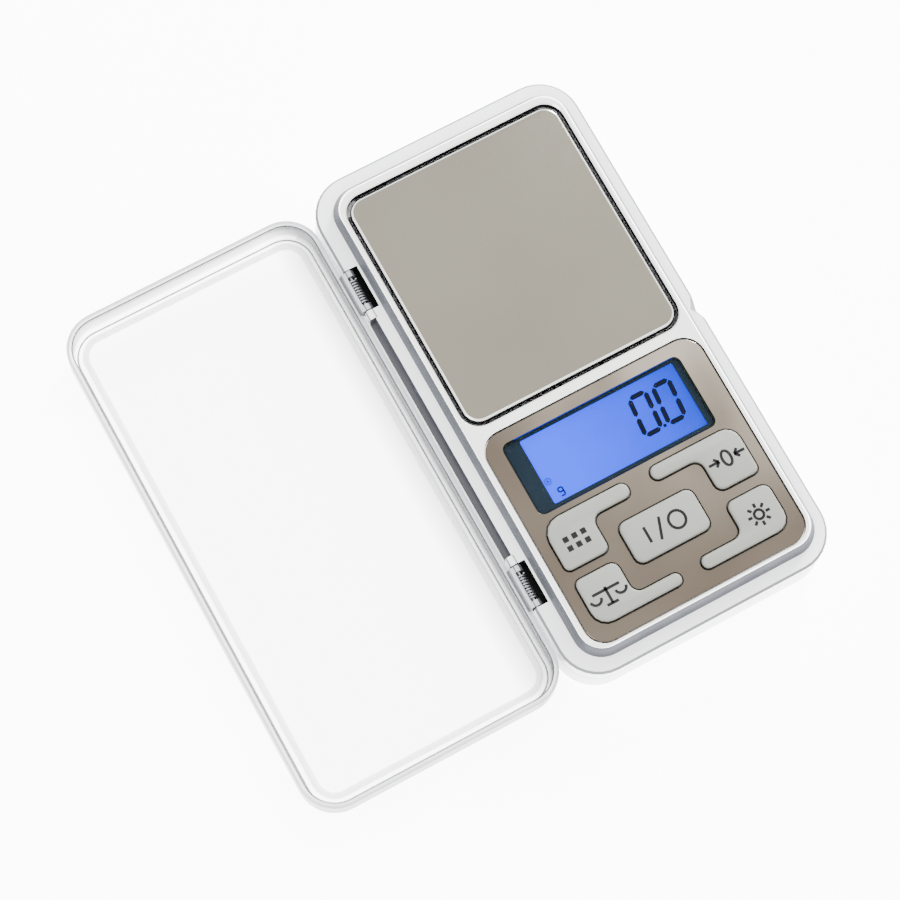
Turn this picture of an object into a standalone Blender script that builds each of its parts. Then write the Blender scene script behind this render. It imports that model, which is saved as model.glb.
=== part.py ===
"""Pocket gram scale with a clear flip-over lid, modelled as an assembly of separate pieces.

Lengths below are in millimetres and are turned into metres where a mesh is made. The scale stands on
its feet at Z = 0. X runs from the hinge side to the thumb notch, Y from the keys to the platform end.
Every piece hangs from the empty "housing_frame", whose own origin is the middle of the housing.
"""
import math

import bmesh
import bpy
from mathutils import Vector

MM = 0.001

# Housing.
BODY_HALF_X, BODY_HALF_Y, BODY_RADIUS = 31.0, 60.0, 9.0
SHELL_BOTTOM, FLOOR_TOP, PARTING, PART_GAP = 0.5, 2.1, 7.6, 0.3
LEDGE_TOP, LEDGE_UNDER, DECK_TOP, DECK_UNDER = 12.0, 10.8, 15.2, 13.2
DECK_FOOT = (-27.3, 28.6, -56.9, 56.9)
DECK_RIM = (-26.1, 27.4, -55.5, 55.5)
DECK_CAVITY = (-25.4, 26.6, -55.0, 55.0)
DECK_RADIUS = 6.2

# Lid and its hinge.
HINGE_X, HINGE_Z = -30.05, 11.15
LID_BOX = (-28.6, 29.9, -58.3, 58.3)
LID_RADIUS, LID_WALL, LID_RIM_Z, LID_TOP_Z, LID_FILLET = 8.0, 1.0, 12.3, 19.9, 2.4
SLOT_NEAR_Y, SLOT_FAR_Y, SLOT_FLOOR_Z, SLOT_INNER_X = 31.0, 41.0, 8.9, -27.8
LUG_NEAR_Y, HINGE_RECESS_X = 29.0, -29.7
PIN_RADIUS, PIN_BORE_RADIUS, KNUCKLE_RADIUS = 0.4, 0.65, 1.15

# Platform, face panel and display.
PLATFORM_BOX = (-24.38, 25.62, -2.2, 53.0)
PLATFORM_RADIUS, PLATFORM_TOP, PLATFORM_GAP = 3.7, 15.3, 0.8
PANEL_BOX = (-24.83, 26.17, -54.8, -5.6)
PANEL_RADIUS, PANEL_UNDER, PANEL_SEAT = 4.5, 14.2, 1.1
WINDOW_BOX = (-21.1, 20.9, -25.4, -8.4)
GLOW_BOX = (-17.0, 19.2, -24.2, -9.2)
BOARD_BOX = (-23.4, 24.7, -51.0, -3.3)
FIT_GAP = 0.3

# Keys: corner points with their corner radii, counter-clockwise.
KEY_TOP, KEY_GAP, KEY_FLANGE = 16.1, 0.35, 0.75
KEYS = {
    "key_pieces": ((-22.1, -38.2, 1.3), (-12.1, -38.2, 1.5), (-12.1, -30.3, 2.2),
                   (-2.4, -30.3, 1.5), (-2.4, -27.0, 1.5), (-22.1, -27.0, 4.0)),
    "key_units": ((-22.0, -51.3, 3.5), (-2.2, -51.3, 1.3), (-2.2, -48.6, 1.3),
                  (-12.3, -48.6, 2.2), (-12.3, -40.6, 1.8), (-22.0, -40.6, 1.4)),
    "key_tare": ((13.6, -38.2, 1.8), (23.3, -38.2, 1.4), (23.3, -27.0, 3.2),
                 (3.1, -27.0, 1.5), (3.1, -30.1, 1.5), (13.6, -30.1, 2.2)),
    "key_light": ((2.9, -51.2, 1.35), (23.2, -51.2, 3.2), (23.2, -41.0, 1.8),
                  (13.4, -41.0, 1.6), (13.4, -48.4, 2.2), (2.9, -48.4, 1.35)),
    "key_power": ((-8.5, -43.9, 1.8), (8.8, -43.9, 1.8), (8.8, -34.4, 1.8), (-8.5, -34.4, 1.8)),
}

# Batteries, load cell, screws and feet.
CELL_RADIUS, CELL_AXIS_Z = 5.1, 6.6
CELL_START_X, CELL_ROWS_Y = -21.3, (-35.9, -46.7)
DOOR_BOX = (-22.6, 24.2, -59.4, -29.6)
DOOR_TOP = 1.3
LOAD_X, LOAD_START_Y, LOAD_LENGTH, LOAD_HALF_WIDTH = 0.62, 2.6, 45.0, 3.6
LOAD_UNDER, LOAD_TOP = 5.0, 11.0
POSTS = ((-23.6, -53.6), (25.4, -53.6), (-23.6, 53.6), (25.4, 53.6))
POST_TOP = 11.85
FEET = ((-27.0, -45.0), (27.0, -45.0), (-27.0, 45.0), (27.0, 45.0))
FOOT_RADIUS = 2.4
BOARD_SCREWS = ((-20.0, -5.2), (21.3, -5.2))
CARRIER_SCREW_Y, CELL_SCREW_Y = (38.0, 44.0), (5.6, 10.6)

OUTLINE_STEPS, SMALL_STEPS, ROUND_SIDES = 8, 4, 16

FINISHES = {
    "housing_silver": ((0.90, 0.90, 0.88), 0.28, 0.35),
    "shell_white": ((0.86, 0.87, 0.88), 0.40, 0.0),
    "clear": ((0.93, 0.95, 0.96), 0.08, 0.0),
    "steel": ((0.62, 0.60, 0.55), 0.32, 1.0),
    "bronze": ((0.52, 0.46, 0.38), 0.15, 1.0),
    "key_grey": ((0.60, 0.60, 0.57), 0.55, 0.0),
    "display_dark": ((0.03, 0.05, 0.06), 0.20, 0.0),
    "display_blue": ((0.14, 0.28, 0.85), 0.20, 0.0),
    "board_green": ((0.04, 0.22, 0.10), 0.50, 0.0),
    "rubber": ((0.06, 0.06, 0.06), 0.80, 0.0),
    "aluminium": ((0.75, 0.75, 0.76), 0.35, 1.0),
    "spring_steel": ((0.55, 0.56, 0.58), 0.25, 1.0),
    "cell_wrap": ((0.10, 0.11, 0.13), 0.35, 0.1),
    "potting": ((0.85, 0.85, 0.80), 0.60, 0.0),
    "mat_rubber": ((0.45, 0.46, 0.46), 0.75, 0.0),
    "cable_grey": ((0.10, 0.10, 0.11), 0.50, 0.0),
}


def material(finish):
    """Return the Principled material of one named finish, made on first use."""
    found = bpy.data.materials.get(finish)
    if found:
        return found
    colour, roughness, metallic = FINISHES[finish]
    made = bpy.data.materials.new(finish)
    made.use_nodes = True
    shader = made.node_tree.nodes["Principled BSDF"]
    shader.inputs["Base Color"].default_value = (*colour, 1.0)
    shader.inputs["Roughness"].default_value = roughness
    shader.inputs["Metallic"].default_value = metallic
    return made


def grow(box, by):
    """Return a box (x0, x1, y0, y1) made larger by a distance on every side."""
    x0, x1, y0, y1 = box
    return (x0 - by, x1 + by, y0 - by, y1 + by)


def rounded_outline(corners, steps):
    """Return an outline whose square corners (x, y, radius) are rounded by arcs."""
    points = []
    count = len(corners)
    for k, (x, y, radius) in enumerate(corners):
        here = Vector((x, y))
        before = (Vector(corners[k - 1][:2]) - here).normalized()
        after = (Vector(corners[(k + 1) % count][:2]) - here).normalized()
        centre = here + radius * (before + after)
        for step in range(steps + 1):
            turn = 0.5 * math.pi * step / steps
            points.append(tuple(centre - radius * (math.cos(turn) * after + math.sin(turn) * before)))
    return points


def rounded_rect(box, radius, steps=OUTLINE_STEPS):
    """Return the counter-clockwise outline of a rectangle with rounded corners."""
    x0, x1, y0, y1 = box
    corners = [(x0, y0, radius), (x1, y0, radius), (x1, y1, radius), (x0, y1, radius)]
    return rounded_outline(corners, steps)


def key_outline(corners, by):
    """Return a key's rounded outline, moved outwards by a distance."""
    moved = []
    count = len(corners)
    for k, (x, y, radius) in enumerate(corners):
        here = Vector((x, y))
        arriving = (here - Vector(corners[k - 1][:2])).normalized()
        leaving = (Vector(corners[(k + 1) % count][:2]) - here).normalized()
        outward = Vector((arriving.y, -arriving.x)) + Vector((leaving.y, -leaving.x))
        convex = arriving.cross(leaving) > 0
        place = here + by * outward
        moved.append((place.x, place.y, radius + by if convex else radius - by))
    return rounded_outline(moved, SMALL_STEPS)


def circle(radius, sides=ROUND_SIDES, centre=(0.0, 0.0)):
    """Return a counter-clockwise circle as an outline."""
    turns = [2 * math.pi * k / sides for k in range(sides)]
    return [(centre[0] + radius * math.cos(t), centre[1] + radius * math.sin(t)) for t in turns]


def level(outline, z):
    """Return an outline as a ring of points at one height."""
    return [(x, y, z) for x, y in outline]


def block(box, z0, z1):
    """Return the two rings of a rectangular block."""
    x0, x1, y0, y1 = box
    outline = [(x0, y0), (x1, y0), (x1, y1), (x0, y1)]
    return [level(outline, z0), level(outline, z1)]


def disc(centre, radius, z0, z1, sides=ROUND_SIDES):
    """Return the two rings of an upright cylinder."""
    outline = circle(radius, sides, centre)
    return [level(outline, z0), level(outline, z1)]


def rod_along_y(radius, y0, y1, centre=(HINGE_X, HINGE_Z), sides=ROUND_SIDES):
    """Return the two rings of a cylinder along Y, by its centre in X and Z."""
    outline = circle(radius, sides, centre)
    return [[(x, y, z) for x, z in outline] for y in (y1, y0)]


def new_object(name, solids, finish=None, origin=(0.0, 0.0, 0.0), parent=None):
    """Make one object from solids, each given as a run of rings that is capped at both ends."""
    shape = bmesh.new()
    for rings in solids:
        loops = [[shape.verts.new((Vector(p) - Vector(origin)) * MM) for p in ring] for ring in rings]
        for lower, upper in zip(loops, loops[1:]):
            for k in range(len(lower)):
                after = (k + 1) % len(lower)
                shape.faces.new((lower[k], lower[after], upper[after], upper[k]))
        shape.faces.new(list(reversed(loops[0])))
        shape.faces.new(loops[-1])
    return place_mesh(name, shape, finish, origin, parent)


def place_mesh(name, shape, finish, origin, parent):
    """Turn a bmesh into an object of the scene, smooth where it is round."""
    bmesh.ops.recalc_face_normals(shape, faces=shape.faces)
    mesh = bpy.data.meshes.new(name)
    shape.to_mesh(mesh)
    shape.free()
    mesh.shade_smooth()
    mesh.set_sharp_from_angle(angle=math.radians(35.0))
    made = bpy.data.objects.new(name, mesh)
    bpy.context.scene.collection.objects.link(made)
    made.parent = parent or housing_frame
    made.location = Vector(origin) * MM
    if finish:
        mesh.materials.append(material(finish))
    else:
        made.hide_render = True
        made.display_type = "WIRE"
    return made


def turned(name, profile, finish, place, axis="Z", sides=ROUND_SIDES):
    """Make a round piece from (radius, height) steps, standing along one axis from a place."""
    made = new_object(name, [[level(circle(r, sides), z) for r, z in profile]], finish)
    made.location = Vector(place) * MM
    if axis == "X":
        made.rotation_euler = (0.0, math.pi / 2, 0.0)
    if axis == "Y":
        made.rotation_euler = (-math.pi / 2, 0.0, 0.0)
    return made


def combine(target, tool, operation):
    """Add an exact Boolean to an object, whose tool is left out of the model."""
    modifier = target.modifiers.new(tool.name, "BOOLEAN")
    modifier.operation = operation
    modifier.solver = "EXACT"
    modifier.object = tool


def cut(target, name, solids, parent=None, origin=(0.0, 0.0, 0.0)):
    """Cut solids away from an object."""
    combine(target, new_object(name, solids, None, origin, parent), "DIFFERENCE")


def add(target, name, solids, parent=None, origin=(0.0, 0.0, 0.0)):
    """Join solids to an object, one Boolean for each."""
    for number, rings in enumerate(solids, start=1):
        tool = new_object(f"{name}_{number}", [rings], None, origin, parent)
        combine(target, tool, "UNION")


def coil(name, finish, turns, length, radius_start, radius_end, wire, place, axis, sides=5, per_turn=8):
    """Make a closed coil spring along local Z from a place, with flat-cut ends."""
    rings = []
    steps = int(turns * per_turn)
    for step in range(steps + 1):
        share = step / steps
        turn = 2 * math.pi * turns * share
        radius = radius_start + (radius_end - radius_start) * share
        outward = Vector((math.cos(turn), math.sin(turn), 0.0))
        centre = radius * outward + Vector((0.0, 0.0, length * share))
        section = [2 * math.pi * k / sides for k in range(sides)]
        rings.append([tuple(centre + wire * (math.cos(a) * outward + math.sin(a) * Vector((0, 0, 1))))
                      for a in section])
    made = new_object(name, [rings], finish)
    made.location = Vector(place) * MM
    made.rotation_euler = (0.0, math.pi / 2, 0.0) if axis == "X" else (-math.pi / 2, 0.0, 0.0)
    return made


def build_lower_housing():
    """Bottom shell: tray, screw bosses, battery walls, door channel, foot and screw recesses."""
    outer = (-BODY_HALF_X, BODY_HALF_X, -BODY_HALF_Y, BODY_HALF_Y)
    rim = rounded_rect(outer, BODY_RADIUS)
    inside = rounded_rect(grow(outer, -1.6), BODY_RADIUS - 1.6)
    shell = new_object("lower_housing", [[
        level(rounded_rect(grow(outer, -0.8), BODY_RADIUS - 0.8), SHELL_BOTTOM),
        level(rim, SHELL_BOTTOM + 0.8), level(rim, PARTING),
        level(inside, PARTING), level(inside, FLOOR_TOP)]], "shell_white")
    bosses = [disc(place, 3.2, FLOOR_TOP - 0.4, 5.0) for place in POSTS]
    walls = [block((-27.6, 27.6, y - 0.5, y + 0.5), FLOOR_TOP - 0.4, 4.9) for y in (-29.2, -52.9)]
    ends = [block((x - 0.5, x + 0.5, -52.6, -29.4), FLOOR_TOP - 0.4, 4.9) for x in (-27.2, 27.2)]
    add(shell, "lower_boss", bosses)
    add(shell, "battery_wall", walls + ends)
    cut(shell, "door_channel", [door_rings(FIT_GAP, SHELL_BOTTOM - 0.4, DOOR_TOP + FIT_GAP, -62.0)])
    cut(shell, "cell_opening", [block((-22.0, 23.6, -52.0, -30.2), 0.9, 3.0)])
    cut(shell, "screw_seats", [disc(place, 2.2, 0.0, 3.4) for place in POSTS])
    cut(shell, "screw_holes", [disc(place, 1.25, 3.0, 6.0) for place in POSTS])
    cut(shell, "foot_seats", [disc(place, FOOT_RADIUS + FIT_GAP, 0.0, 1.4) for place in FEET])
    cut(shell, "load_cell_seats", [disc((LOAD_X, y), 2.3, 0.0, 1.4) for y in CELL_SCREW_Y])
    cut(shell, "load_cell_holes", [disc((LOAD_X, y), 1.55, 1.0, 3.0) for y in CELL_SCREW_Y])


def door_rings(by, z0, z1, far_y):
    """Return the dovetailed rings of the battery door, or of its channel."""
    x0, x1, _, y1 = DOOR_BOX
    rings = []
    for z in (z0, z1):
        spread = by + (z - SHELL_BOTTOM) * 0.9
        rings += [level([(x0 - spread, far_y), (x1 + spread, far_y), (x1 + spread, y1 + by),
                         (x0 - spread, y1 + by)], z)]
    return rings


def build_upper_housing():
    """Top shell: ledge, raised deck, openings, hinge slots and lugs, thumb notch and screw posts."""
    outer = (-BODY_HALF_X, BODY_HALF_X, -BODY_HALF_Y, BODY_HALF_Y)
    rim = rounded_rect(outer, BODY_RADIUS)
    ledge_edge = rounded_rect(grow(outer, -0.5), BODY_RADIUS - 0.5)
    wide = rounded_rect((-26.5, 29.4, -58.4, 58.4), 7.4)
    cavity = rounded_rect(DECK_CAVITY, DECK_RADIUS - 1.4)
    base = PARTING + PART_GAP
    shell = new_object("upper_housing", [[
        level(cavity, DECK_UNDER), level(cavity, LEDGE_UNDER), level(wide, LEDGE_UNDER),
        level(wide, base), level(rim, base), level(rim, LEDGE_TOP - 0.5), level(ledge_edge, LEDGE_TOP),
        level(rounded_rect(DECK_FOOT, DECK_RADIUS), LEDGE_TOP),
        level(rounded_rect(grow(DECK_RIM, 0.15), DECK_RADIUS - 1.0), DECK_TOP - 0.4),
        level(rounded_rect(grow(DECK_RIM, -0.25), DECK_RADIUS - 1.2), DECK_TOP)]], "housing_silver")
    add(shell, "housing_post", [disc(place, 2.4, 5.3, POST_TOP) for place in POSTS])
    add(shell, "board_boss", [disc(place, 1.7, 12.9, DECK_UNDER + 0.4) for place in BOARD_SCREWS])
    cut(shell, "post_bores", [disc(place, 1.25, 5.0, POST_TOP - 0.8) for place in POSTS])
    cut(shell, "board_bores", [disc(place, 0.95, 12.5, 14.4) for place in BOARD_SCREWS])

    hole = grow(PLATFORM_BOX, PLATFORM_GAP)
    hole_outline = rounded_rect(hole, PLATFORM_RADIUS + PLATFORM_GAP)
    trim_outline = rounded_rect(grow(hole, 0.45), PLATFORM_RADIUS + PLATFORM_GAP + 0.45)
    cut(shell, "platform_opening", [[level(hole_outline, 12.0), level(hole_outline, DECK_TOP - 0.3),
                                     level(trim_outline, DECK_TOP + 0.15)]])
    seat = rounded_rect(grow(PANEL_BOX, FIT_GAP), PANEL_RADIUS + FIT_GAP)
    through = rounded_rect(grow(PANEL_BOX, -PANEL_SEAT), PANEL_RADIUS - PANEL_SEAT)
    cut(shell, "panel_opening", [[level(through, 12.0), level(through, PANEL_UNDER - FIT_GAP),
                                  level(seat, PANEL_UNDER - FIT_GAP), level(seat, DECK_TOP + 0.5)]])
    cut_hinge(shell)
    notch_low = [(33.0, -3.6), (33.0, 2.8), (30.9, -0.4)]
    notch_high = [(33.0, -8.2), (33.0, 7.6), (28.95, -0.4)]
    cut(shell, "thumb_notch", [[level(notch_low, 8.6), level(notch_high, LEDGE_TOP + 0.4)]])


def cut_hinge(shell):
    """Cut the hinge slots and the recess between them, and add the lugs that carry the pins."""
    slots = [block((-33.0, SLOT_INNER_X, *sorted((side * SLOT_NEAR_Y, side * SLOT_FAR_Y))),
                   SLOT_FLOOR_Z, 14.0) for side in (-1, 1)]
    recess = block((-33.0, HINGE_RECESS_X, -LUG_NEAR_Y, LUG_NEAR_Y), SLOT_FLOOR_Z, 14.0)
    cut(shell, "hinge_slots", slots + [recess])
    for side in (-1, 1):
        y0, y1 = sorted((side * LUG_NEAR_Y, side * SLOT_NEAR_Y))
        add(shell, f"hinge_lug_{side + 2}", [rod_along_y(KNUCKLE_RADIUS, y0, y1)])
    bores = [rod_along_y(PIN_BORE_RADIUS, *sorted((side * 29.5, side * 44.2)), sides=12)
             for side in (-1, 1)]
    cut(shell, "pin_bores", bores)


def build_lid():
    """Clear lid: a tray with filleted edges and one knuckle strip for each hinge slot.

    It is modelled closed, and stands turned fully open about the hinge axis.
    """
    axis = bpy.data.objects.new("lid_hinge_axis", None)
    bpy.context.scene.collection.objects.link(axis)
    axis.parent = housing_frame
    axis.location = Vector((HINGE_X, 0.0, HINGE_Z)) * MM
    axis.rotation_euler = (0.0, math.pi, 0.0)

    outer = lid_wall(0.0, LID_TOP_Z, LID_FILLET)
    inner = list(reversed(lid_wall(LID_WALL, LID_TOP_Z - LID_WALL, LID_FILLET - LID_WALL)))
    origin = (HINGE_X, 0.0, HINGE_Z)
    lid = new_object("lid_cover", [inner + outer], "clear", origin, axis)
    lid.location = (0.0, 0.0, 0.0)
    for side in (-1, 1):
        near, far = side * (SLOT_NEAR_Y + FIT_GAP), side * (SLOT_FAR_Y - FIT_GAP)
        y0, y1 = sorted((near, far))
        sleeve = [(HINGE_X + 0.2, HINGE_Z - 1.0), (HINGE_X + 1.5, HINGE_Z - 0.75),
                  (HINGE_X + 1.75, HINGE_Z + 0.2), (HINGE_X + 2.1, HINGE_Z + 1.35),
                  (HINGE_X + 2.1, HINGE_Z + 2.4), (HINGE_X + 1.6, HINGE_Z + 2.4),
                  (HINGE_X + 0.3, HINGE_Z + 1.5)]
        strip = [[(x, y, z) for x, z in sleeve] for y in (y1, y0)]
        tools = [("lid_strip", strip, "UNION"),
                 ("lid_knuckle_near", rod_along_y(KNUCKLE_RADIUS, *sorted((near, near + side * 1.3))), "UNION"),
                 ("lid_knuckle_far", rod_along_y(KNUCKLE_RADIUS, *sorted((far, far - side * 1.3))), "UNION"),
                 ("lid_spring_room", rod_along_y(1.2, *sorted((near + side * 1.3, far - side * 1.3))),
                  "DIFFERENCE"),
                 ("lid_pin_bore", rod_along_y(PIN_BORE_RADIUS, y0 - 1.0, y1 + 1.0, sides=12), "DIFFERENCE")]
        for label, solid, operation in tools:
            tool = new_object(f"{label}_{side + 2}", [solid], None, origin, axis)
            tool.location = (0.0, 0.0, 0.0)
            combine(lid, tool, operation)


def lid_wall(inset, top, fillet):
    """Return the rings of the lid's outer or inner surface, from its rim to its flat top."""
    box, radius = grow(LID_BOX, -inset), LID_RADIUS - inset
    rings = [level(rounded_rect(box, radius), LID_RIM_Z)]
    for step in range(4):
        turn = 0.5 * math.pi * step / 3
        pull = fillet * (1 - math.cos(turn))
        rings.append(level(rounded_rect(grow(box, -pull), radius - pull),
                           top - fillet * (1 - math.sin(turn))))
    return rings


def build_hinge_hardware():
    """Steel pin and coil spring in each hinge slot."""
    for number, side in enumerate((-1, 1), start=1):
        start = min(side * 29.8, side * 43.9)
        turned(f"hinge_pin_{number}", [(PIN_RADIUS - 0.1, 0.0), (PIN_RADIUS, 0.1), (PIN_RADIUS, 14.0),
                                       (PIN_RADIUS - 0.1, 14.1)],
               "spring_steel", (HINGE_X, start, HINGE_Z), "Y", 10)
        begin = min(side * 33.2, side * 38.8)
        coil(f"hinge_spring_{number}", "spring_steel", 11, 5.6, 0.87, 0.87, 0.16,
             (HINGE_X, begin, HINGE_Z), "Y")


def build_platform():
    """Steel weighing pan, the carrier under it and the carrier's two screws."""
    under = rounded_rect(grow(PLATFORM_BOX, -0.8), PLATFORM_RADIUS - 0.8)
    edge = rounded_rect(PLATFORM_BOX, PLATFORM_RADIUS)
    rings = [level(under, PLATFORM_TOP - 0.8), level(under, 13.5), level(edge, 13.5),
             level(edge, PLATFORM_TOP - 0.75),
             level(rounded_rect(grow(PLATFORM_BOX, -0.35), PLATFORM_RADIUS - 0.35), PLATFORM_TOP - 0.2),
             level(rounded_rect(grow(PLATFORM_BOX, -1.0), PLATFORM_RADIUS - 1.0), PLATFORM_TOP)]
    new_object("weighing_platform", [rings], "steel")
    carrier = new_object("platform_carrier", [
        [level(rounded_rect(grow(PLATFORM_BOX, -2.6), 2.0, SMALL_STEPS), z) for z in (12.6, 14.2)]],
        "shell_white")
    add(carrier, "carrier_foot", [block((LOAD_X - 3.4, LOAD_X + 3.4, 35.4, 46.6), 11.7, 13.0)])
    cut(carrier, "carrier_seats", [disc((LOAD_X, y), 2.3, 13.2, 14.6) for y in CARRIER_SCREW_Y])
    cut(carrier, "carrier_holes", [disc((LOAD_X, y), 1.5, 11.0, 13.6) for y in CARRIER_SCREW_Y])
    for number, y in enumerate(CARRIER_SCREW_Y, start=1):
        turned(f"carrier_screw_{number}", [(0.9, 8.0), (1.2, 8.3), (1.2, 13.5), (2.0, 13.5), (2.0, 14.0),
                                           (1.6, 14.1)], "spring_steel", (LOAD_X, y, 0.0), "Z", 12)


def build_load_cell():
    """Aluminium load cell with its spacer, screws, gauge coating and cable."""
    x0, x1 = LOAD_X - LOAD_HALF_WIDTH, LOAD_X + LOAD_HALF_WIDTH
    y1 = LOAD_START_Y + LOAD_LENGTH
    cell = new_object("load_cell", [block((x0, x1, LOAD_START_Y, y1), LOAD_UNDER, LOAD_TOP)], "aluminium")
    middle_z = 0.5 * (LOAD_UNDER + LOAD_TOP)
    holes = []
    for y in (18.5, 30.5):
        outline = circle(2.1, ROUND_SIDES, (y, middle_z))
        holes.append([[(x, a, b) for a, b in outline] for x in (x0 - 1.0, x1 + 1.0)])
    cut(cell, "gauge_holes", holes)
    cut(cell, "gauge_slit", [block((x0 - 1.0, x1 + 1.0, 19.0, 30.0), middle_z - 0.4, middle_z + 0.4)])
    cut(cell, "cell_screw_bores", [disc((LOAD_X, y), 1.55, 4.0, 12.0) for y in CELL_SCREW_Y])
    cut(cell, "carrier_screw_bores", [disc((LOAD_X, y), 1.55, 4.0, 12.0) for y in CARRIER_SCREW_Y])
    spacer = new_object("load_cell_spacer", [block((x0, x1, LOAD_START_Y, 13.6), 2.4, 4.7)], "aluminium")
    cut(spacer, "spacer_holes", [disc((LOAD_X, y), 1.55, 2.0, 5.0) for y in CELL_SCREW_Y])
    new_object("gauge_coating", [block((x0 + 0.8, x1 - 0.8, 16.0, 33.0), 11.3, 11.9)], "potting")
    for number, y in enumerate(CELL_SCREW_Y, start=1):
        turned(f"cell_screw_{number}", [(1.6, 0.7), (2.0, 0.8), (2.0, 1.1), (1.25, 1.1), (1.25, 9.6),
                                        (0.9, 9.9)], "spring_steel", (LOAD_X, y, 0.0), "Z", 12)
    build_cable()


def build_cable():
    """Gauge cable from the load cell's side to the underside of the board."""
    route = [(5.2, 24.0, 9.5), (6.3, 20.0, 9.2), (7.2, 14.0, 8.6), (7.6, 8.0, 8.2), (7.6, 2.0, 8.4),
             (7.4, -3.0, 9.4), (7.2, -7.0, 10.6), (7.0, -11.0, 11.2)]
    rings = []
    for k, place in enumerate(route):
        ahead = Vector(route[min(k + 1, len(route) - 1)]) - Vector(route[max(k - 1, 0)])
        side = ahead.cross(Vector((0, 0, 1))).normalized()
        top = side.cross(ahead).normalized()
        rings.append([tuple(Vector(place) + 0.5 * (math.cos(a) * side + math.sin(a) * top))
                      for a in (2 * math.pi * n / 8 for n in range(8))])
    new_object("load_cell_cable", [rings], "cable_grey")


def build_panel_and_display():
    """Bronze face panel and the display stack behind its window."""
    top_edge = rounded_rect(grow(PANEL_BOX, -0.2), PANEL_RADIUS - 0.2)
    outline = rounded_rect(PANEL_BOX, PANEL_RADIUS)
    panel = new_object("face_panel", [[level(outline, PANEL_UNDER), level(outline, DECK_TOP - 0.1),
                                       level(top_edge, DECK_TOP + 0.05)]], "bronze")
    holes = [[level(key_outline(corners, KEY_GAP), z) for z in (13.5, 16.0)] for corners in KEYS.values()]
    window = rounded_rect(WINDOW_BOX, 1.6, SMALL_STEPS)
    cut(panel, "panel_holes", holes + [[level(window, 13.5), level(window, 16.0)]])

    frame_outline = rounded_rect(grow(WINDOW_BOX, -FIT_GAP), 1.3, SMALL_STEPS)
    new_object("display_lens", [[level(frame_outline, 14.65), level(frame_outline, 15.1)]], "clear")
    bezel = new_object("display_bezel", [[level(frame_outline, 14.05), level(frame_outline, 14.35)]],
                       "display_dark")
    glow = rounded_rect(GLOW_BOX, 0.4, SMALL_STEPS)
    cut(bezel, "bezel_window", [[level(glow, 13.8), level(glow, 14.6)]])
    new_object("lcd_glass", [block(grow(GLOW_BOX, 0.6), 13.45, 13.8)], "display_blue")
    new_object("backlight_guide", [block(grow(GLOW_BOX, 0.1), 12.9, 13.15)], "display_blue")
    x0, x1, y0, _ = GLOW_BOX
    new_object("zebra_strip", [block((x0, x1, y0 - 1.3, y0 - 0.4), 12.9, 13.15)], "mat_rubber")


def build_board_and_keys():
    """Main board with its screws, rubber key mat and the five keys."""
    board = new_object("main_board", [[level(rounded_rect(BOARD_BOX, 1.5, SMALL_STEPS), z)
                                       for z in (12.0, 12.6)]], "board_green")
    cut(board, "board_holes", [disc(place, 1.1, 11.0, 13.0, 12) for place in BOARD_SCREWS])
    for number, (x, y) in enumerate(BOARD_SCREWS, start=1):
        turned(f"board_screw_{number}", [(1.2, 10.9), (1.6, 11.1), (1.6, 11.7), (0.65, 11.7), (0.65, 14.0)],
               "spring_steel", (x, y, 0.0), "Z", 10)
    mat = rounded_rect((-23.0, 24.2, -50.9, -26.2), 1.5, SMALL_STEPS)
    new_object("key_mat", [[level(mat, 12.9), level(mat, 13.2)]], "mat_rubber")
    for name, corners in KEYS.items():
        flange, body = key_outline(corners, KEY_FLANGE), key_outline(corners, 0.0)
        new_object(name, [[level(flange, 13.55), level(flange, 13.85), level(body, 13.85),
                           level(body, KEY_TOP - 0.45), level(key_outline(corners, -0.2), KEY_TOP - 0.12),
                           level(key_outline(corners, -0.6), KEY_TOP)]], "key_grey")


def build_power():
    """Two round cells, their springs and contact plates, and the sliding door."""
    for number, y in enumerate(CELL_ROWS_Y, start=1):
        turned(f"battery_{number}", [(CELL_RADIUS - 0.4, 0.0), (CELL_RADIUS, 0.3), (CELL_RADIUS, 43.0),
                                     (CELL_RADIUS - 0.5, 43.3), (1.9, 43.3), (1.9, 44.3)],
               "cell_wrap", (CELL_START_X, y, CELL_AXIS_Z), "X", 20)
        coil(f"contact_spring_{number}", "spring_steel", 3.5, 2.9, 3.6, 1.6, 0.25,
             (-25.1, y, CELL_AXIS_Z), "X", per_turn=10)
    for number, (x, low, high) in enumerate(((-25.9, -50.2, -32.4), (23.9, -50.2, -32.4)), start=1):
        new_object(f"contact_plate_{number}", [block((x, x + 0.4, low, high), 2.5, 10.6)], "spring_steel")
    door = new_object("battery_door", [door_rings(0.0, SHELL_BOTTOM, DOOR_TOP, DOOR_BOX[2])], "shell_white")
    grips = [block((-9.0, 10.6, y - 0.35, y + 0.35), 0.2, 0.8) for y in (-54.6, -53.0, -51.4)]
    cut(door, "door_grips", grips)


def build_fasteners_and_feet():
    """Housing screws and rubber feet."""
    for number, (x, y) in enumerate(POSTS, start=1):
        turned(f"housing_screw_{number}", [(1.5, 1.6), (1.9, 1.8), (1.9, 2.8), (0.95, 2.8), (0.95, 10.4),
                                           (0.5, 10.7)], "spring_steel", (x, y, 0.0), "Z", 12)
    for number, (x, y) in enumerate(FEET, start=1):
        turned(f"foot_{number}", [(FOOT_RADIUS - 0.3, 0.0), (FOOT_RADIUS, 0.25), (FOOT_RADIUS, 1.1)],
               "rubber", (x, y, 0.0))


for old in list(bpy.data.objects):
    bpy.data.objects.remove(old, do_unlink=True)
housing_frame = bpy.data.objects.new("housing_frame", None)
bpy.context.scene.collection.objects.link(housing_frame)
LID_OPEN_FAR_X = 2 * HINGE_X - LID_BOX[1]
housing_frame.location = (-0.5 * (LID_OPEN_FAR_X + BODY_HALF_X) * MM, 0.0, 0.0)

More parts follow.
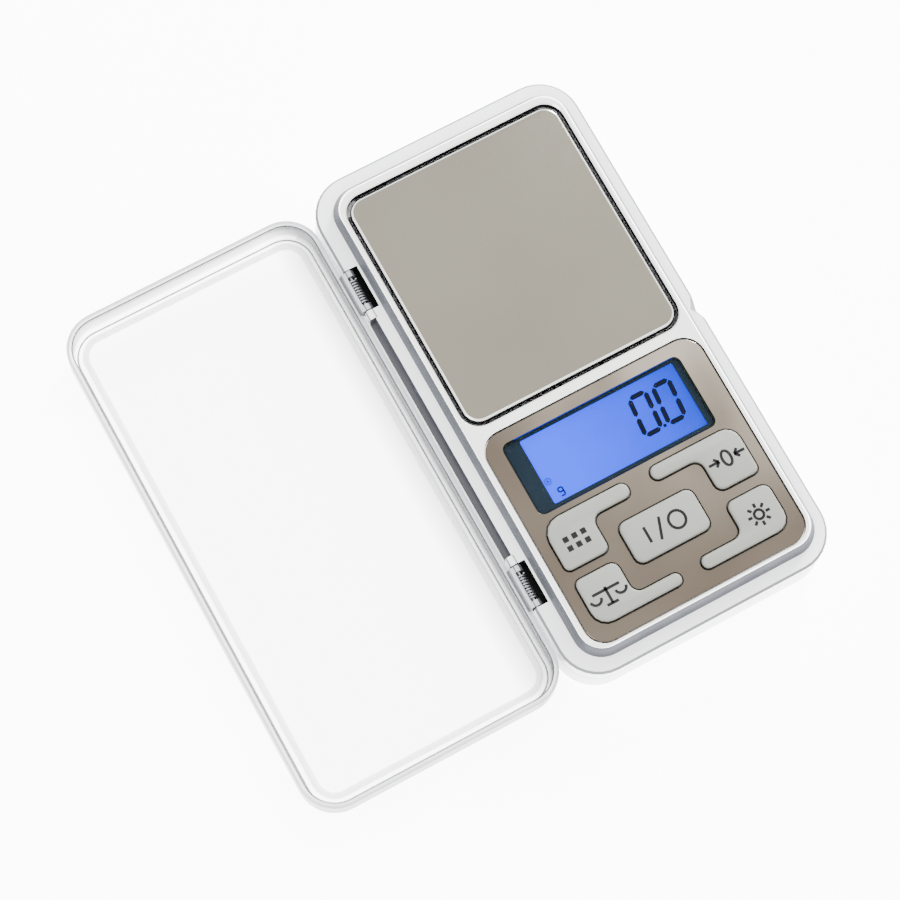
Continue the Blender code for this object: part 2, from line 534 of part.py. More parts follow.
build_lower_housing()
build_upper_housing()
build_lid()
build_hinge_hardware()
build_platform()
build_load_cell()
build_panel_and_display()
build_board_and_keys()
build_power()
build_fasteners_and_feet()
bpy.context.view_layer.update()
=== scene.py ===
"""Looks of a pocket gram scale: finishes, fine edges, readout, key legends, light and camera."""

import logging
import math
from dataclasses import dataclass, field
from enum import Enum, IntEnum
from typing import Iterable, Sequence

import bmesh
import bpy
from mathutils import Matrix, Vector


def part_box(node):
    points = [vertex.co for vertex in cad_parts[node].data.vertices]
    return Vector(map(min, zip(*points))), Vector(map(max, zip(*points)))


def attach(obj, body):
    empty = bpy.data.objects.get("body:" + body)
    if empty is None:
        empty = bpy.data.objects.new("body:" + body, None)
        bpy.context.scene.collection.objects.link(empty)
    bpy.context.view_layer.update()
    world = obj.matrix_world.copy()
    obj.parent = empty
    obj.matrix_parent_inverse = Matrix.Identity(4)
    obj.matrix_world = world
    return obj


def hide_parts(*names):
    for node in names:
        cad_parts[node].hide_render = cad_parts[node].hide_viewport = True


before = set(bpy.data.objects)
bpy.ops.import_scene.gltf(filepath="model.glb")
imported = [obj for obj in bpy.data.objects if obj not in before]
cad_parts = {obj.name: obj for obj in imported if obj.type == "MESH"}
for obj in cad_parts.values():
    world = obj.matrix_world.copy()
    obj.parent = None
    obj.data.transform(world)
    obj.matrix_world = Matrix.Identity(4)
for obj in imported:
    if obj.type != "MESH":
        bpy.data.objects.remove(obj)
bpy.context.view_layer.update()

LOG = logging.getLogger("gram_scale")
MM = 0.001
Point = tuple[float, float, float]
Colour = tuple[float, float, float]


class Body(str, Enum):
    """The moving bodies of the scale, by their names in the frame."""

    BASE = "base"
    LID = "lid"
    PLATFORM = "platform"
    DOOR = "door"
    POWER = "power_key"
    TARE = "tare_key"
    LIGHT = "light_key"
    PIECES = "pieces_key"
    UNITS = "units_key"


class Slot(str, Enum):
    """Material slots of the record."""

    SILVER = "housing_silver"
    SHELL = "shell_white"
    LID = "lid_clear"
    PLATFORM = "platform_steel"
    PANEL = "panel_bronze"
    KEY = "key_grey"
    WINDOW = "window_clear"
    BEZEL = "bezel_dark"
    DISPLAY = "display_blue"
    GUIDE = "light_guide"
    BOARD = "board_green"
    FOOT = "foot_rubber"
    MAT = "mat_rubber"
    ALUMINIUM = "cell_aluminium"
    STEEL = "fastener_steel"
    WRAP = "cell_wrap"
    POTTING = "potting"
    CABLE = "cable_jacket"


class ShellLook(IntEnum):
    """The finishes of the top shell, by their place in its list of materials; the shaded ones carry painted
    shade.
    """

    LEDGE = 0
    SILVER = 1
    SHADED_WALL = 2
    SHADED_RECESS = 3
    SHADED_EDGE = 4
    SHADED_CHANNEL = 5


class NodeGraph:
    """A material's node tree with short ways to add and join nodes."""

    def __init__(self, name: str) -> None:
        """Start a material that holds one Principled shader.

        Args:
            name: The material's name.
        """
        self.material = bpy.data.materials.new(name)
        self.material.use_nodes = True
        self.tree = self.material.node_tree
        self.shader = self.tree.nodes["Principled BSDF"]
        self.place = self.add("ShaderNodeTexCoord").outputs["Object"]

    def add(self, kind: str, **values: object) -> bpy.types.Node:
        """Add a node and set its properties.

        Args:
            kind: Blender's name for the node type.
            **values: Properties of the node.

        Returns:
            The new node.
        """
        node = self.tree.nodes.new(kind)
        for key, value in values.items():
            setattr(node, key, value)
        return node

    def link(self, source: bpy.types.NodeSocket, target: bpy.types.NodeSocket) -> None:
        """Join an output to an input."""
        self.tree.links.new(source, target)

    def set(self, **values: object) -> None:
        """Set the shader's own sockets, with underscores standing for spaces."""
        for key, value in values.items():
            self.shader.inputs[key.replace("_", " ")].default_value = value

    def noise(self, scale: Sequence[float], detail: float = 3.0,
              roughness: float = 0.5) -> bpy.types.NodeSocket:
        """Add a noise pattern with its own scale along each axis.

        Args:
            scale: Cycles per metre along X, Y and Z.
            detail: Octaves of the pattern.
            roughness: How strong the fine octaves are.

        Returns:
            The pattern's value output.
        """
        mapping = self.add("ShaderNodeMapping")
        mapping.inputs["Scale"].default_value = scale
        self.link(self.place, mapping.inputs["Vector"])
        noise = self.add("ShaderNodeTexNoise")
        noise.inputs["Scale"].default_value = 1.0
        noise.inputs["Detail"].default_value = detail
        noise.inputs["Roughness"].default_value = roughness
        self.link(mapping.outputs["Vector"], noise.inputs["Vector"])
        return noise.outputs["Fac"]

    def remap(self, value: bpy.types.NodeSocket, low: float, high: float,
              start: float = 0.3, stop: float = 0.7) -> bpy.types.NodeSocket:
        """Stretch a value between two limits.

        Args:
            value: The output to stretch.
            low: What it becomes at start.
            high: What it becomes at stop.
            start: Where the stretch begins.
            stop: Where the stretch ends.

        Returns:
            The stretched output.
        """
        node = self.add("ShaderNodeMapRange")
        for key, number in zip(("From Min", "From Max", "To Min", "To Max"), (start, stop, low, high)):
            node.inputs[key].default_value = number
        self.link(value, node.inputs["Value"])
        return node.outputs["Result"]

    def blend(self, value: bpy.types.NodeSocket, first: Colour, second: Colour) -> bpy.types.NodeSocket:
        """Mix two colours by a value from 0 to 1 and return the colour output."""
        mix = self.add("ShaderNodeMix", data_type="RGBA")
        mix.inputs[6].default_value = (*first, 1.0)
        mix.inputs[7].default_value = (*second, 1.0)
        self.link(value, mix.inputs[0])
        return mix.outputs[2]

    def bump(self, value: bpy.types.NodeSocket, strength: float, depth: float) -> None:
        """Raise the surface by a pattern.

        Args:
            value: The height pattern.
            strength: Share of the effect, from 0 to 1.
            depth: Height of the pattern in metres.
        """
        node = self.add("ShaderNodeBump")
        node.inputs["Strength"].default_value = strength
        node.inputs["Distance"].default_value = depth
        self.link(value, node.inputs["Height"])
        self.link(node.outputs["Normal"], self.shader.inputs["Normal"])


@dataclass(frozen=True)
class Finish:
    """A surface with a grain, a slight change of colour and uneven gloss."""

    name: str
    colour: Colour
    second_colour: Colour
    roughness: tuple[float, float]
    metallic: float = 0.0
    grain: tuple[float, float, float] = (3000.0, 3000.0, 3000.0)
    grain_depth: float = 0.00001
    grain_strength: float = 0.15
    patch: float = 60.0
    coat: float = 0.0
    specular: float = 0.5

    def make(self) -> bpy.types.Material:
        """Build the material.

        Returns:
            The finished material.
        """
        graph = NodeGraph(self.name)
        patches = graph.noise((self.patch,) * 3, 2.0)
        fine = graph.noise(self.grain, 4.0, 0.6)
        tint = graph.blend(graph.remap(patches, 0.0, 1.0), self.colour, self.second_colour)
        graph.link(tint, graph.shader.inputs["Base Color"])
        graph.link(graph.remap(fine, *self.roughness), graph.shader.inputs["Roughness"])
        graph.bump(fine, self.grain_strength, self.grain_depth)
        graph.set(Metallic=self.metallic, Coat_Weight=self.coat, Coat_Roughness=0.08,
                  Specular_IOR_Level=self.specular)
        self.dress(graph)
        return graph.material

    def dress(self, graph: NodeGraph) -> None:
        """Add what one kind of finish has beyond the plain one."""


@dataclass(frozen=True)
class ClearFinish(Finish):
    """A thin clear moulding: faint face on, greyer where it is seen edge on, and with an optional painted
    shade near the lid's hinge side.
    """

    face_alpha: float = 0.09
    edge_alpha: float = 0.85
    edge_colour: Colour = (0.07, 0.073, 0.082)
    painted_hinge_shade: float = 0.0
    shade_start_mm: float = 12.0
    shade_end_mm: float = 5.0

    def dress(self, graph: NodeGraph) -> None:
        """Let the surface be seen through, by how far it turns away, and paint shade towards the hinge side.
        """
        facing = graph.add("ShaderNodeLayerWeight").outputs["Facing"]
        turned = graph.remap(facing, 0.0, 1.0, 0.12, 0.95)
        alpha = graph.remap(turned, self.face_alpha, self.edge_alpha, 0.0, 1.0)
        # painted shade: the moulding turns more opaque grey towards the hinge side, standing in for the
        # base's shadow on the lid
        if self.painted_hinge_shade:
            split = graph.add("ShaderNodeSeparateXYZ")
            graph.link(graph.place, split.inputs["Vector"])
            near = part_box("lid_cover")[1].x
            shade = graph.remap(split.outputs["X"], 0.0, self.painted_hinge_shade,
                                near - self.shade_start_mm * MM, near - self.shade_end_mm * MM)
            total = graph.add("ShaderNodeMath", operation="ADD", use_clamp=True)
            graph.link(alpha, total.inputs[0])
            graph.link(shade, total.inputs[1])
            alpha = total.outputs[0]
        graph.link(alpha, graph.shader.inputs["Alpha"])
        graph.link(graph.blend(turned, self.colour, self.edge_colour), graph.shader.inputs["Base Color"])


@dataclass(frozen=True)
class GlowFinish(Finish):
    """A backlit display whose light is uneven across its face."""

    bright: Colour = (0.008, 0.05, 1.0)
    edge: Colour = (0.0, 0.02, 0.42)
    strength: float = 2.6

    def dress(self, graph: NodeGraph) -> None:
        """Light the surface, brightest left of its middle and darker at the far right."""
        low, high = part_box("lcd_glass")
        split = graph.add("ShaderNodeSeparateXYZ")
        graph.link(graph.place, split.inputs["Vector"])
        fall = graph.remap(split.outputs["X"], 0.0, 1.0, low.x + 0.2 * (high.x - low.x), high.x)
        waves = graph.noise((55.0, 90.0, 1.0), 1.0)
        shade = graph.add("ShaderNodeMath", operation="MULTIPLY")
        graph.link(fall, shade.inputs[0])
        graph.link(graph.remap(waves, 0.6, 1.25, 0.3, 0.7), shade.inputs[1])
        light = graph.blend(shade.outputs[0], self.bright, self.edge)
        graph.link(light, graph.shader.inputs["Emission Color"])
        graph.set(Emission_Strength=self.strength)


@dataclass(frozen=True)
class PaintedReflectionFinish(Finish):
    """A mirror film with a painted reflection that brightens its colour towards the far right of its panel,
    with soft uneven patches.
    """

    # tone of the painted reflection
    bright: Colour = (0.28, 0.245, 0.20)

    def dress(self, graph: NodeGraph) -> None:
        """Paint a reflection: brighten the colour along the panel's diagonal."""
        low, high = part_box("face_panel")
        split = graph.add("ShaderNodeSeparateXYZ")
        graph.link(graph.place, split.inputs["Vector"])
        across = graph.remap(split.outputs["X"], 0.0, 1.0, low.x, high.x)
        along = graph.remap(split.outputs["Y"], 0.0, 1.0, low.y, high.y)
        both = graph.add("ShaderNodeMath", operation="MULTIPLY")
        graph.link(across, both.inputs[0])
        graph.link(along, both.inputs[1])
        # painted reflection: a diagonal ramp, broken into soft waves, blends the colour towards the reflected
        # tone
        rise = graph.remap(both.outputs[0], 0.0, 1.0, 0.05, 1.0)
        wavy_painted_reflection = graph.add("ShaderNodeMath", operation="MULTIPLY")
        graph.link(rise, wavy_painted_reflection.inputs[0])
        graph.link(graph.remap(graph.noise((70.0, 45.0, 1.0), 1.0), 0.5, 1.3), wavy_painted_reflection.inputs[1])
        patches = graph.remap(graph.noise((50.0,) * 3, 1.0), 0.0, 1.0)
        base = graph.blend(patches, self.colour, self.second_colour)
        mix = graph.add("ShaderNodeMix", data_type="RGBA")
        mix.inputs[7].default_value = (*self.bright, 1.0)
        graph.link(wavy_painted_reflection.outputs[0], mix.inputs[0])
        graph.link(base, mix.inputs[6])
        graph.link(mix.outputs[2], graph.shader.inputs["Base Color"])


class Palette:
    """Every finish of the scale, made once."""

    def __init__(self) -> None:
        """Make the materials."""
        finishes = {
            "silver": Finish("silver_lacquer", (0.88, 0.88, 0.86), (0.94, 0.94, 0.92), (0.14, 0.22), 0.8,
                             grain_depth=0.000004, coat=0.5),
            # sloping wall of the plated deck, painted dark: painted shade and reflection
            "deck_wall": Finish("plated_wall_painted_shade", (0.066, 0.070, 0.081), (0.088, 0.093, 0.106),
                                (0.25, 0.35), 0.3, grain_depth=0.000003, patch=140.0, specular=0.2),
            "ledge": Finish("ledge_white", (0.86, 0.87, 0.885), (0.91, 0.92, 0.93), (0.10, 0.18),
                            grain_depth=0.000003, grain_strength=0.08, coat=0.6),
            # grey on the white ledge's chamfer and notch facets: painted shade
            "side": Finish("edge_painted_shade", (0.15, 0.153, 0.165), (0.18, 0.183, 0.195), (0.3, 0.4),
                           grain_depth=0.000003, specular=0.08),
            # near black for walls in hollows: painted shade
            "recess": Finish("recess_painted_shade", (0.006, 0.006, 0.006), (0.010, 0.010, 0.010), (0.4, 0.5),
                             grain_depth=0.000001, grain_strength=0.02, specular=0.02),
            # dark grey in the hinge channel: painted shade
            "channel": Finish("channel_painted_shade", (0.035, 0.035, 0.045), (0.055, 0.055, 0.068), (0.3, 0.4)),
            "shell": Finish("shell_white", (0.80, 0.81, 0.82), (0.85, 0.86, 0.87), (0.28, 0.40),
                            grain_depth=0.00001, grain_strength=0.2),
            # clear lid, with painted shade towards its hinge side
            "clear": ClearFinish("lid_clear", (0.21, 0.213, 0.22), (0.24, 0.243, 0.25), (0.03, 0.07),
                                 grain=(400.0,) * 3, grain_depth=0.000002, grain_strength=0.02,
                                 specular=0.25, painted_hinge_shade=0.36),
            "rim": ClearFinish("lid_rim", (0.80, 0.81, 0.85), (0.84, 0.85, 0.88), (0.04, 0.08),
                               grain=(400.0,) * 3, grain_depth=0.000002, grain_strength=0.05,
                               face_alpha=0.55, edge_alpha=0.85),
            # dark lines along the lid's edges: painted shade
            "lid_painted_shade_line": ClearFinish("lid_painted_shade_line", (0.085, 0.088, 0.098), (0.11, 0.113, 0.124), (0.10, 0.15),
                                    grain=(400.0,) * 3, grain_depth=0.000002, grain_strength=0.05,
                                    specular=0.2, face_alpha=0.65, edge_alpha=0.85),
            # white band along the lid's inner fillet: painted highlight
            "lid_glint": ClearFinish("lid_glint", (0.90, 0.90, 0.92), (0.94, 0.94, 0.95), (0.15, 0.2),
                                     grain=(400.0,) * 3, grain_depth=0.000002, grain_strength=0.05,
                                     face_alpha=0.45, edge_alpha=0.1, edge_colour=(0.5, 0.5, 0.52)),
            # darker clear finish for the hinge-side walls: painted shade
            "lid_wall": ClearFinish("lid_wall_painted_shade", (0.13, 0.135, 0.15), (0.17, 0.175, 0.19), (0.03, 0.07),
                                    grain=(400.0,) * 3, grain_depth=0.000002, grain_strength=0.05,
                                    face_alpha=0.3, edge_alpha=0.75, painted_hinge_shade=0.25),
            "window": ClearFinish("window_clear", (0.02, 0.03, 0.05), (0.03, 0.04, 0.06), (0.02, 0.05),
                                  grain=(400.0,) * 3, grain_depth=0.000001, grain_strength=0.05,
                                  specular=0.05, face_alpha=0.02, edge_alpha=0.3),
            "steel": Finish("platform_steel", (0.160, 0.148, 0.119), (0.176, 0.163, 0.133), (0.20, 0.28), 1.0,
                            grain=(9000.0, 260.0, 260.0), grain_depth=0.000002, grain_strength=0.25,
                            patch=25.0),
            # bronze mirror film with a painted reflection sweep
            "bronze": PaintedReflectionFinish("bronze_mirror", (0.076, 0.060, 0.044), (0.096, 0.078, 0.059),
                                  (0.10, 0.16), 0.85, grain_depth=0.000001, grain_strength=0.05,
                                  patch=55.0),
            "key": Finish("key_grey", (0.185, 0.188, 0.169), (0.203, 0.206, 0.187), (0.38, 0.5),
                          grain=(5000.0,) * 3, grain_depth=0.000012, grain_strength=0.35, specular=0.35),
            # dark copy of the key grey for the keys' sides: painted shade
            "key_side_painted_shade": Finish("key_side_painted_shade", (0.030, 0.026, 0.022), (0.045, 0.040, 0.034), (0.4, 0.5),
                               specular=0.2),
            "bezel": Finish("bezel_dark", (0.006, 0.012, 0.018), (0.009, 0.016, 0.023), (0.12, 0.2),
                            grain_depth=0.000002, grain_strength=0.05, specular=0.03),
            "glow": GlowFinish("display_glow", (0.004, 0.012, 0.16), (0.006, 0.014, 0.18), (0.10, 0.16),
                               grain_depth=0.000001, grain_strength=0.03, specular=0.02),
            "ink": Finish("legend_ink", (0.010, 0.010, 0.011), (0.014, 0.014, 0.015), (0.4, 0.5),
                          grain_depth=0.000003, specular=0.03),
            "segment": Finish("segment_dark", (0.004, 0.005, 0.012), (0.006, 0.007, 0.016), (0.3, 0.4),
                              grain_depth=0.000001, specular=0.0),
            "guide": Finish("light_guide", (0.30, 0.40, 0.60), (0.34, 0.44, 0.64), (0.4, 0.5)),
            "board": Finish("board_green", (0.01, 0.06, 0.025), (0.015, 0.08, 0.03), (0.25, 0.4),
                            grain=(1200.0,) * 3),
            "rubber": Finish("foot_rubber", (0.02, 0.02, 0.02), (0.035, 0.035, 0.035), (0.7, 0.85),
                             grain=(6000.0,) * 3, grain_depth=0.00003, grain_strength=0.4),
            "mat": Finish("mat_rubber", (0.12, 0.12, 0.12), (0.15, 0.15, 0.15), (0.6, 0.75)),
            "aluminium": Finish("machined_aluminium", (0.40, 0.40, 0.41), (0.45, 0.45, 0.46), (0.25, 0.38),
                                1.0, grain=(300.0, 5000.0, 5000.0), grain_depth=0.000003),
            "coil": Finish("spring_wire", (0.30, 0.30, 0.32), (0.36, 0.36, 0.38), (0.2, 0.3), 0.9,
                           grain_depth=0.000003),
            # bright copy of the pan's steel for its edge: painted highlight
            "trim": Finish("edge_painted_highlight", (0.72, 0.71, 0.68), (0.78, 0.77, 0.74), (0.15, 0.25), 1.0,
                           grain_depth=0.000003),
            "fastener": Finish("bright_steel", (0.26, 0.26, 0.27), (0.34, 0.34, 0.35), (0.18, 0.3), 1.0,
                               grain_depth=0.000004),
            "wrap": Finish("cell_wrap", (0.03, 0.03, 0.035), (0.05, 0.05, 0.055), (0.2, 0.3), 0.1, coat=0.5),
            "potting": Finish("potting_white", (0.60, 0.60, 0.56), (0.66, 0.66, 0.62), (0.45, 0.6),
                              grain=(900.0,) * 3, grain_depth=0.00006, grain_strength=0.4),
            "cable": Finish("cable_grey", (0.02, 0.02, 0.022), (0.03, 0.03, 0.032), (0.35, 0.5)),
        }
        self.made = {key: finish.make() for key, finish in finishes.items()}

    def __getitem__(self, key: str) -> bpy.types.Material:
        """Return the material of one finish."""
        return self.made[key]


def cad_shape(node: str) -> bmesh.types.BMesh:
    """Return a CAD node's shape in the row frame, with its flat faces joined again.

    Args:
        node: The node's name.

    Returns:
        The shape as a bmesh.
    """
    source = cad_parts[node]
    shape = bmesh.new()
    shape.from_mesh(source.data)
    shape.transform(source.matrix_world)
    bmesh.ops.remove_doubles(shape, verts=shape.verts, dist=1e-6)
    bmesh.ops.dissolve_limit(shape, angle_limit=math.radians(0.8), verts=shape.verts, edges=shape.edges)
    return shape


def finish_piece(name: str, shape: bmesh.types.BMesh, materials: Sequence[bpy.types.Material], body: Body,
                 replaced: Iterable[str] = (), bevel: float = 0.0,
                 segments: int = 2) -> bpy.types.Object:
    """Turn a shape into a piece that rides on a body.

    Args:
        name: The piece's name.
        shape: Its bmesh, which is used up.
        materials: Its materials, by the faces' material index.
        body: The body that it moves with.
        replaced: CAD nodes that it stands for.
        bevel: Width of its rounded edges in metres, or 0 for none.
        segments: Steps across a rounded edge.

    Returns:
        The piece.
    """
    mesh = bpy.data.meshes.new(name)
    shape.to_mesh(mesh)
    shape.free()
    mesh.shade_smooth()
    mesh.set_sharp_from_angle(angle=math.radians(32.0))
    for material in materials:
        mesh.materials.append(material)
    piece = bpy.data.objects.new(name, mesh)
    bpy.context.scene.collection.objects.link(piece)
    if bevel:
        modifier = piece.modifiers.new("edges", "BEVEL")
        modifier.width = bevel
        modifier.segments = segments
        modifier.limit_method = "ANGLE"
        modifier.angle_limit = math.radians(32.0)
        modifier.harden_normals = True
        modifier.use_clamp_overlap = True
    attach(piece, body.value)
    if replaced:
        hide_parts(*replaced)
    return piece


def refine(node: str, material: bpy.types.Material, body: Body, bevel: float,
           segments: int = 2) -> bpy.types.Object:
    """Replace a CAD node by the same shape with fine rounded edges.

    Args:
        node: The node's name.
        material: The finish.
        body: The body that it moves with.
        bevel: Width of the rounded edges in millimetres.
        segments: Steps across a rounded edge.

    Returns:
        The piece.
    """
    return finish_piece(f"{node}_fine", cad_shape(node), [material], body, [node], bevel * MM, segments)


def prism(shape: bmesh.types.BMesh, outline: Sequence[tuple[float, float]], z0: float, z1: float) -> None:
    """Add an upright closed prism to a shape.

    Args:
        shape: The bmesh to add to.
        outline: Its corners (x, y) in metres, counter-clockwise.
        z0: Height of its underside.
        z1: Height of its top.
    """
    low = [shape.verts.new((x, y, z0)) for x, y in outline]
    high = [shape.verts.new((x, y, z1)) for x, y in outline]
    for k in range(len(outline)):
        after = (k + 1) % len(outline)
        shape.faces.new((low[k], low[after], high[after], high[k]))
    shape.faces.new(list(reversed(low)))
    shape.faces.new(high)


def stroke(start: tuple[float, float], end: tuple[float, float], width: float) -> list[tuple[float, float]]:
    """Return the outline of a straight stroke with pointed ends."""
    a, b = Vector(start), Vector(end)
    along = (b - a).normalized() * (0.5 * width)
    side = Vector((along.y, -along.x))
    corners = (a, a + along + side, b - along + side, b, b - along - side, a + along - side)
    return [tuple(c) for c in corners]


def square(x: float, y: float, half: float) -> list[tuple[float, float]]:
    """Return the outline of a square about a place."""
    return [(x + dx * half, y + dy * half) for dx, dy in ((-1, -1), (1, -1), (1, 1), (-1, 1))]


def frame_middle_x() -> float:
    """Return the X of the housing's middle in the row frame, in metres."""
    low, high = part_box("lower_housing")
    return 0.5 * (low.x + high.x)


@dataclass
class Housing:
    """The two shells, the feet, the screws and the battery door.

    Lengths are in millimetres, X and Y from the housing's middle and heights from the ledge's top.
    """

    palette: Palette
    edge_mm: float = 0.22
    deck_height: float = 3.2
    deck_middle_x: float = 0.65
    deck_half_width: float = 26.4
    deck_half_length: float = 55.2
    notch_x: float = 28.6
    notch_y: float = -0.4
    notch_half_length: float = 7.0
    slot_floor: float = -3.3
    slot_x: tuple[float, float] = (-30.9, -27.6)
    slot_y: tuple[float, float] = (30.8, 41.2)
    channel_x: float = -29.5
    channel_half_length: float = 29.1

    def build(self) -> None:
        """Build the outer shells and what closes them from below."""
        self.upper_shell()
        lower = refine("lower_housing", self.palette["ledge"], Body.BASE, self.edge_mm)
        door = refine("battery_door", self.palette["shell"], Body.DOOR, 0.1)
        LOG.info("shells: %s, %s", lower.name, door.name)
        for number in range(1, 5):
            refine(f"foot_{number}", self.palette["rubber"], Body.BASE, 0.15)
            refine(f"housing_screw_{number}", self.palette["fastener"], Body.BASE, 0.1)

    def is_inside_deck(self, x: float, y: float) -> bool:
        """Say whether a place lies in the deck's openings, away from its sloping outer walls."""
        across = abs(x - self.deck_middle_x * MM) < self.deck_half_width * MM
        return across and abs(y) < self.deck_half_length * MM

    def look(self, face: bmesh.types.BMFace, ledge_top: float, middle_x: float) -> int:
        """Choose the finish of one face of the top shell, with painted shade on its sloping walls, chamfer,
        notch, recesses and hinge channel.

        Args:
            face: The face.
            ledge_top: Height of the ledge in metres.
            middle_x: X of the housing's middle in metres.

        Returns:
            Its place in the list of materials.
        """
        look = face.material_index
        up = face.normal.z
        centre = face.calc_center_median()
        x, y, z = centre.x - middle_x, centre.y, centre.z - ledge_top
        # the deck's sloping walls get a dark copy of its finish as painted shade
        if min(v.co.z for v in face.verts) > ledge_top - 0.1 * MM and up > -0.5:
            look = ShellLook.SILVER if up > 0.6 else ShellLook.SHADED_WALL
        if up > 0.9 and abs(z) < 0.1 * MM:
            look = ShellLook.LEDGE
        # the ledge's outer chamfer and the thumb notch's facets get grey as painted shade
        if 0.3 < up < 0.9 and -0.6 * MM < z < -0.1 * MM:
            look = ShellLook.SHADED_EDGE
        in_notch = x > self.notch_x * MM and abs(y - self.notch_y * MM) < self.notch_half_length * MM
        if in_notch and abs(up) < 0.85 and abs(face.normal.x) < 0.97:
            look = ShellLook.SHADED_EDGE
        # upright walls of the deck's openings and of the hinge slots get near black as painted shade
        if abs(up) < 0.3 and z > 0.0 and self.is_inside_deck(x, y):
            look = ShellLook.SHADED_RECESS
        if self.slot_floor * MM < z < -0.2 * MM and x > self.slot_x[0] * MM:
            if self.slot_y[0] * MM < abs(y) < self.slot_y[1] * MM and x < self.slot_x[1] * MM:
                look = ShellLook.SHADED_RECESS
            # the channel along the hinge side gets dark grey as painted shade
            elif abs(y) < self.channel_half_length * MM and x < self.channel_x * MM:
                look = ShellLook.SHADED_CHANNEL
        return int(look)

    def upper_shell(self) -> None:
        """Build the top shell: a white ledge round a silver deck, with painted shade on its walls and
        hollows.
        """
        shape = cad_shape("upper_housing")
        ledge_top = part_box("upper_housing")[1].z - self.deck_height * MM
        middle_x = frame_middle_x()
        for face in shape.faces:
            face.material_index = self.look(face, ledge_top, middle_x)
        looks = [self.palette[key] for key in ("ledge", "silver", "deck_wall", "recess", "side", "channel")]
        piece = finish_piece("upper_housing_fine", shape, looks, Body.BASE, ["upper_housing"],
                             self.edge_mm * MM, 3)
        LOG.info("shell: %s", piece.name)


@dataclass
class Hinge:
    """The pins and the coil springs in the hinge slots."""

    palette: Palette
    turns: int = 9
    wire_mm: float = 0.16
    sides: int = 8
    steps_per_turn: int = 20

    def build(self) -> None:
        """Build both hinge ends."""
        for number in (1, 2):
            refine(f"hinge_pin_{number}", self.palette["fastener"], Body.BASE, 0.05)
            spring = self.spring(number)
            LOG.info("spring: %s", spring.name)

    def spring(self, number: int) -> bpy.types.Object:
        """Wind one coil spring inside the space of its CAD node.

        Args:
            number: Which hinge end.

        Returns:
            The spring.
        """
        low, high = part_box(f"hinge_spring_{number}")
        centre = 0.5 * (low + high)
        wire = self.wire_mm * MM
        radius = 0.5 * (high.z - low.z) - wire
        run = high.y - low.y - 2 * wire
        shape = bmesh.new()
        loops = []
        steps = self.turns * self.steps_per_turn
        for step in range(steps + 1):
            turn = 2 * math.pi * self.turns * step / steps
            out = Vector((math.cos(turn), 0.0, math.sin(turn)))
            middle = Vector((centre.x, low.y + wire + run * step / steps, centre.z)) + radius * out
            section = [2 * math.pi * k / self.sides for k in range(self.sides)]
            loops.append([shape.verts.new(middle + wire * (math.cos(a) * out
                                                           + math.sin(a) * Vector((0, 1, 0))))
                          for a in section])
        for one, two in zip(loops, loops[1:]):
            for k in range(self.sides):
                after = (k + 1) % self.sides
                shape.faces.new((one[k], one[after], two[after], two[k]))
        shape.faces.new(loops[0])
        shape.faces.new(list(reversed(loops[-1])))
        bmesh.ops.recalc_face_normals(shape, faces=shape.faces)
        name = f"hinge_spring_{number}"
        return finish_piece(f"{name}_fine", shape, [self.palette["coil"]], Body.BASE, [name])


@dataclass(frozen=True)
class Bead:
    """A round bead that follows the lid's wall, by its inset and its height over the lid's lowest point; it
    carries a painted shade line or a painted highlight.
    """

    name: str
    finish: str
    inset: float
    height: float
    radius: float


